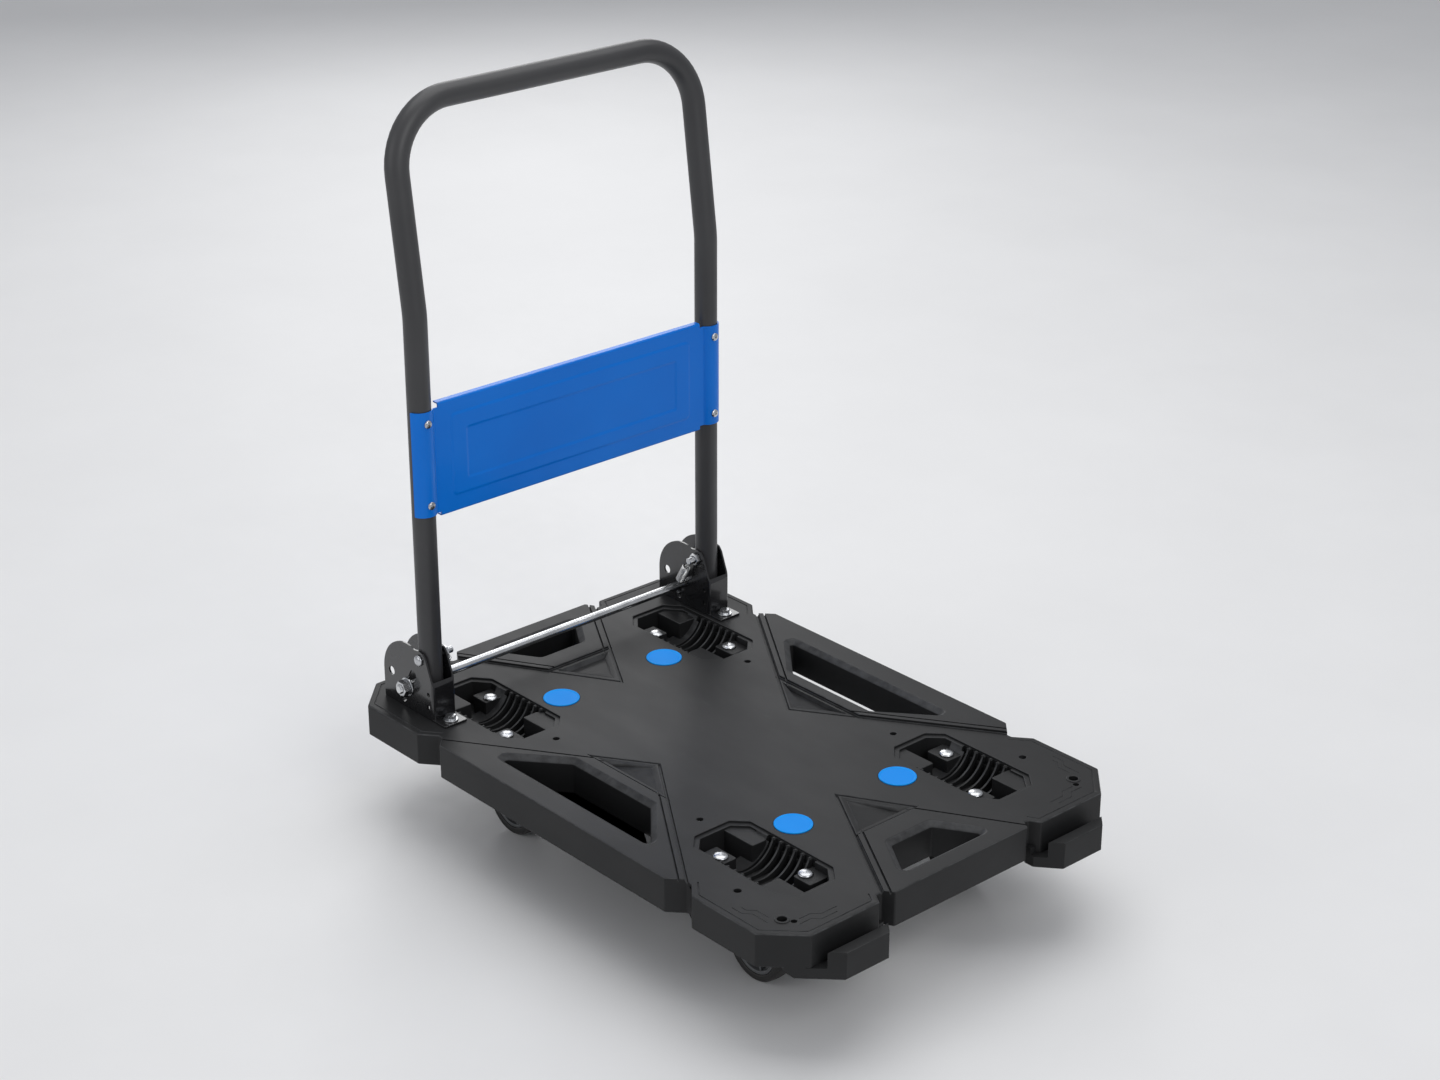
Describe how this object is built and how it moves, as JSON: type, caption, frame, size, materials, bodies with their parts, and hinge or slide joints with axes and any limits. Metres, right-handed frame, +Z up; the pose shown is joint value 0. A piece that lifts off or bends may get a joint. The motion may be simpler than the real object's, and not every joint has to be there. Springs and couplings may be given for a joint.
{
  "type": "folding platform cart",
  "caption": "Moulded flat deck on fixed and swivel casters, with a fold-down tube handle and panel, a sprung foot lock bar, hand slots, wheel nests and coupling hooks.",
  "frame": {"origin": "on the floor, under the middle of the whole cart's footprint, hooks and handle upright", "axes": "+Z up; +X from the handle end to the hook end of the deck; +Y to the left of a person who stands behind the handle and pushes"},
  "size_m": [0.72, 0.482, 0.8128],
  "materials": {
    "deck_plastic": "fine-grained dark grey moulding",
    "pad_rubber": "smooth satin blue",
    "black_paint": "semi-gloss powder coat on steel",
    "blue_paint": "gloss blue enamel on pressed steel sheet",
    "zinc": "bright zinc plate",
    "tyre": "matt dark rubber",
    "core": "moulded grey wheel centre"
  },
  "bodies": {
    "deck": {"deck": "deck_plastic", "grip_pad_front_left": "pad_rubber", "grip_pad_front_right": "pad_rubber", "grip_pad_rear_left": "pad_rubber", "grip_pad_rear_right": "pad_rubber", "pivot_bracket_left": "black_paint", "pivot_bracket_right": "black_paint", "pivot_bolt_left": "zinc", "pivot_bolt_right": "zinc", "pivot_nut_left": "zinc", "pivot_nut_right": "zinc", "lock_spring_left": "zinc", "lock_spring_right": "zinc", "fixed_fork_left": "zinc", "fixed_fork_right": "zinc", "swivel_plate_left": "zinc", "swivel_plate_right": "zinc", "kingpin_left": "zinc", "kingpin_right": "zinc", "axle_front_left": "zinc", "axle_front_right": "zinc", "bracket_bolt_front_left": "zinc", "bracket_bolt_front_right": "zinc", "bracket_bolt_rear_left": "zinc", "bracket_bolt_rear_right": "zinc", "caster_bolt_front_left_inner": "zinc", "caster_bolt_front_left_outer": "zinc", "caster_bolt_front_right_inner": "zinc", "caster_bolt_front_right_outer": "zinc", "caster_bolt_rear_left_inner": "zinc", "caster_bolt_rear_left_outer": "zinc", "caster_bolt_rear_right_inner": "zinc", "caster_bolt_rear_right_outer": "zinc"},
    "handle": {"handle_tube": "black_paint", "panel": "blue_paint", "tail_plug_left": "deck_plastic", "tail_plug_right": "deck_plastic", "panel_screw_left_top": "zinc", "panel_screw_left_bottom": "zinc", "panel_screw_right_top": "zinc", "panel_screw_right_bottom": "zinc"},
    "lock_bar": {"lock_bar": "zinc", "bar_washer_left": "zinc", "bar_washer_right": "zinc", "bar_nut_left": "zinc", "bar_nut_right": "zinc"},
    "swivel_left": {"swivel_fork_left": "zinc", "axle_rear_left": "zinc"},
    "swivel_right": {"swivel_fork_right": "zinc", "axle_rear_right": "zinc"},
    "wheel_front_left": {"tyre_front_left": "tyre", "wheel_core_front_left": "core"},
    "wheel_front_right": {"tyre_front_right": "tyre", "wheel_core_front_right": "core"},
    "wheel_rear_left": {"tyre_rear_left": "tyre", "wheel_core_rear_left": "core"},
    "wheel_rear_right": {"tyre_rear_right": "tyre", "wheel_core_rear_right": "core"}
  },
  "joints": [
    {"name": "handle_fold", "type": "hinge", "parent": "deck", "child": "handle", "pos_m": [-0.264, 0, 0.203], "axis": [0, 1, 0], "range_deg": [0, 96]},
    {"name": "lock_bar_slide", "type": "slide", "parent": "deck", "child": "lock_bar", "axis": [0.5, 0, 0.866], "range_m": [-0.018, 0.0195], "stiffness_N_per_m": 2000, "springref_m": 0.00125, "deforming": ["lock_spring_left", "lock_spring_right"]},
    {"name": "caster_swivel_left", "type": "hinge", "parent": "deck", "child": "swivel_left", "pos_m": [-0.2235, 0.14, 0.06], "axis": [0, 0, 1], "continuous": true},
    {"name": "caster_swivel_right", "type": "hinge", "parent": "deck", "child": "swivel_right", "pos_m": [-0.2235, -0.14, 0.06], "axis": [0, 0, 1], "continuous": true},
    {"name": "wheel_spin_front_left", "type": "hinge", "parent": "deck", "child": "wheel_front_left", "pos_m": [0.1995, 0.14, 0.0375], "axis": [0, 1, 0], "continuous": true},
    {"name": "wheel_spin_front_right", "type": "hinge", "parent": "deck", "child": "wheel_front_right", "pos_m": [0.1995, -0.14, 0.0375], "axis": [0, 1, 0], "continuous": true},
    {"name": "wheel_spin_rear_left", "type": "hinge", "parent": "swivel_left", "child": "wheel_rear_left", "pos_m": [-0.1915, 0.14, 0.0375], "axis": [0, 1, 0], "continuous": true},
    {"name": "wheel_spin_rear_right", "type": "hinge", "parent": "swivel_right", "child": "wheel_rear_right", "pos_m": [-0.1915, -0.14, 0.0375], "axis": [0, 1, 0], "continuous": true}
  ]
}
